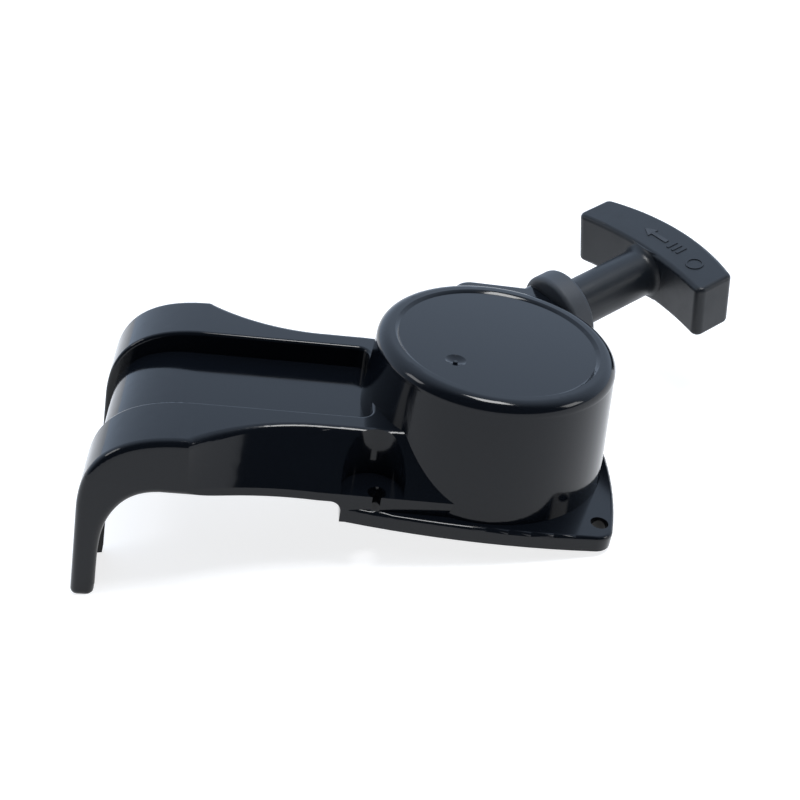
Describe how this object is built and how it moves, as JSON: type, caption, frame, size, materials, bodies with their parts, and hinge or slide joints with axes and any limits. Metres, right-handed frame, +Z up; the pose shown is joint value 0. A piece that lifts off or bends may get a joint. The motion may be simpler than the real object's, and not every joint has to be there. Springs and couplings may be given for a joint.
{
  "type": "recoil starter",
  "caption": "Pull starter for a small engine: a gloss moulded drum on a bolted flange with rails and hanging legs, and a T-handle on a sprung, reeled rope.",
  "frame": {"origin": "on the drum's axis, at the underside of the mounting flange", "axes": "+Z up along the drum's axis; -X along the rails towards the legs; the rope leaves towards +X and +Y"},
  "size_m": [0.2819, 0.1848, 0.1238],
  "materials": {
    "housing": "gloss moulded",
    "collar": "matte moulded",
    "handle": "satin moulded",
    "eyelet": "polished",
    "rope": "braided",
    "reel": "satin moulded",
    "bush": "sintered",
    "spring_steel": "blued",
    "zinc_steel": "zinc plated",
    "hard_steel": "oiled",
    "brass": "machined"
  },
  "bodies": {
    "root": {"starter_housing": "housing", "rope_outlet_collar": "collar", "rope_eyelet": "eyelet", "rope_run": "rope", "spring_case": "zinc_steel", "spring_cover": "zinc_steel", "cover_screws": "zinc_steel", "recoil_spring": "spring_steel", "threaded_insert": "brass", "thrust_washer": "zinc_steel", "bolt_sleeve": "hard_steel", "friction_spring": "spring_steel", "bolt_washer": "zinc_steel", "centre_bolt": "zinc_steel"},
    "reel": {"reel": "reel", "reel_bush": "bush", "rope_coil": "rope", "reel_knot": "rope", "pawl_pin_a": "hard_steel", "pawl_pin_b": "hard_steel", "pawl_spring_a": "spring_steel", "pawl_spring_b": "spring_steel"},
    "drive_plate": {"drive_plate": "zinc_steel"},
    "pawl_a": {"pawl_a": "hard_steel"},
    "pawl_b": {"pawl_b": "hard_steel"},
    "rope_end": {"handle_knot": "rope", "knot_washer": "zinc_steel"},
    "handle": {"handle_grip": "handle", "handle_plug": "handle"}
  },
  "joints": [
    {"name": "handle_pull", "type": "slide", "parent": "root", "child": "rope_end", "axis": [0.825, 0.5016, 0.2605], "range_m": [0, 0.85], "stiffness_N_per_m": 15, "springref_m": -0.6, "deforming": ["rope_run"]},
    {"name": "handle_turn", "type": "hinge", "parent": "rope_end", "child": "handle", "pos_m": [0.0844, 0.0842, 0.06126], "axis": [0.825, 0.5016, 0.2605], "range_deg": [-180, 180]},
    {"name": "reel_spin", "type": "hinge", "parent": "root", "child": "reel", "pos_m": [0, 0, 0], "axis": [0, 0, -1], "range_deg": [0, 1734], "deforming": ["recoil_spring"]},
    {"name": "plate_shift", "type": "hinge", "parent": "reel", "child": "drive_plate", "pos_m": [0, 0, 0.0152], "axis": [0, 0, 1], "range_deg": [0, 25]},
    {"name": "pawl_a_swing", "type": "hinge", "parent": "reel", "child": "pawl_a", "pos_m": [0, 0.027, 0.0205], "axis": [0, 0, 1], "range_deg": [0, 38]},
    {"name": "pawl_b_swing", "type": "hinge", "parent": "reel", "child": "pawl_b", "pos_m": [0, -0.027, 0.0205], "axis": [0, 0, 1], "range_deg": [0, 38]}
  ],
  "couplings": [
    {"joint": "reel_spin", "follows": "handle_pull", "rad_per_m": 35.587},
    {"joint": "pawl_a_swing", "follows": "plate_shift", "ratio": 1.52},
    {"joint": "pawl_b_swing", "follows": "plate_shift", "ratio": 1.52}
  ]
}
